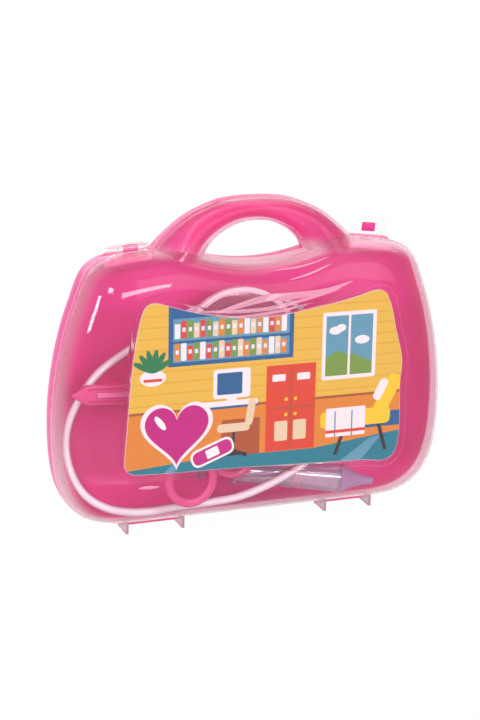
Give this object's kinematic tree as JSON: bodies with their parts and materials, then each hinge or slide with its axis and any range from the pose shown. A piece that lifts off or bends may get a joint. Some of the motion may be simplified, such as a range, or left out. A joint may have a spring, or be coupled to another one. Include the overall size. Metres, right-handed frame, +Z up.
{
  "type": "toy doctor case",
  "caption": "Toy doctor's carry case with a clear hinged front, pink back, shared handle, flip latches and play instruments inside.",
  "frame": {"origin": "on the ground under the middle of the case, on the plane where the two shells meet", "axes": "+X along the case's width, +Y from the clear front to the pink back, +Z up to the handle"},
  "size_m": [0.2664, 0.0568, 0.211],
  "materials": {
    "pink_plastic": "glossy moulded",
    "clear_plastic": "clear, very faintly pink, glossy",
    "tool_pink": "glossy moulded",
    "lavender_plastic": "semi-gloss moulded",
    "pale_plastic": "semi-gloss moulded",
    "printed_card": "printed card, semi-matt",
    "toy_mirror": "silvered plastic"
  },
  "bodies": {
    "case_back": {"back_shell": "pink_plastic", "scissors_front_half": "tool_pink", "scissors_rivet": "lavender_plastic", "syringe_barrel": "clear_plastic", "syringe_nozzle": "lavender_plastic", "stethoscope_tube": "pale_plastic", "chest_piece": "tool_pink", "diaphragm": "pale_plastic", "headset_yoke": "tool_pink", "headset_tube_upper": "pale_plastic", "headset_tube_lower": "pale_plastic", "ear_tip_upper": "tool_pink", "ear_tip_lower": "tool_pink", "thermometer_body": "tool_pink", "thermometer_scale": "pale_plastic", "mirror_disc": "pale_plastic", "mirror_glass": "toy_mirror", "mirror_stud": "tool_pink"},
    "lid": {"front_shell": "clear_plastic", "picture_card": "printed_card"},
    "left_latch": {"left_latch_tab": "clear_plastic", "left_latch_hook": "pink_plastic"},
    "right_latch": {"right_latch_tab": "clear_plastic", "right_latch_hook": "pink_plastic"},
    "scissors_blade": {"scissors_back_half": "tool_pink"},
    "plunger": {"syringe_plunger": "lavender_plastic", "plunger_seal": "tool_pink"}
  },
  "joints": [
    {"name": "lid_hinge", "type": "hinge", "parent": "case_back", "child": "lid", "pos_m": [0, 0.005, 0.00375], "axis": [1, 0, 0], "range_deg": [0, 135]},
    {"name": "left_latch_pivot", "type": "hinge", "parent": "case_back", "child": "left_latch", "pos_m": [-0.08327, 0.003, 0.17787], "axis": [0.9943, 0, 0.1068], "range_deg": [-97, 8]},
    {"name": "right_latch_pivot", "type": "hinge", "parent": "case_back", "child": "right_latch", "pos_m": [0.08327, 0.003, 0.17787], "axis": [0.9943, 0, -0.1068], "range_deg": [-15, 90]},
    {"name": "scissors_pivot", "type": "hinge", "parent": "case_back", "child": "scissors_blade", "pos_m": [-0.04983, -0.0082, 0.08453], "axis": [0, -1, 0], "range_deg": [0, 25]},
    {"name": "plunger_slide", "type": "slide", "parent": "case_back", "child": "plunger", "axis": [0.9673, -0.2215, -0.1235], "range_m": [-0.004, 0.019]}
  ]
}
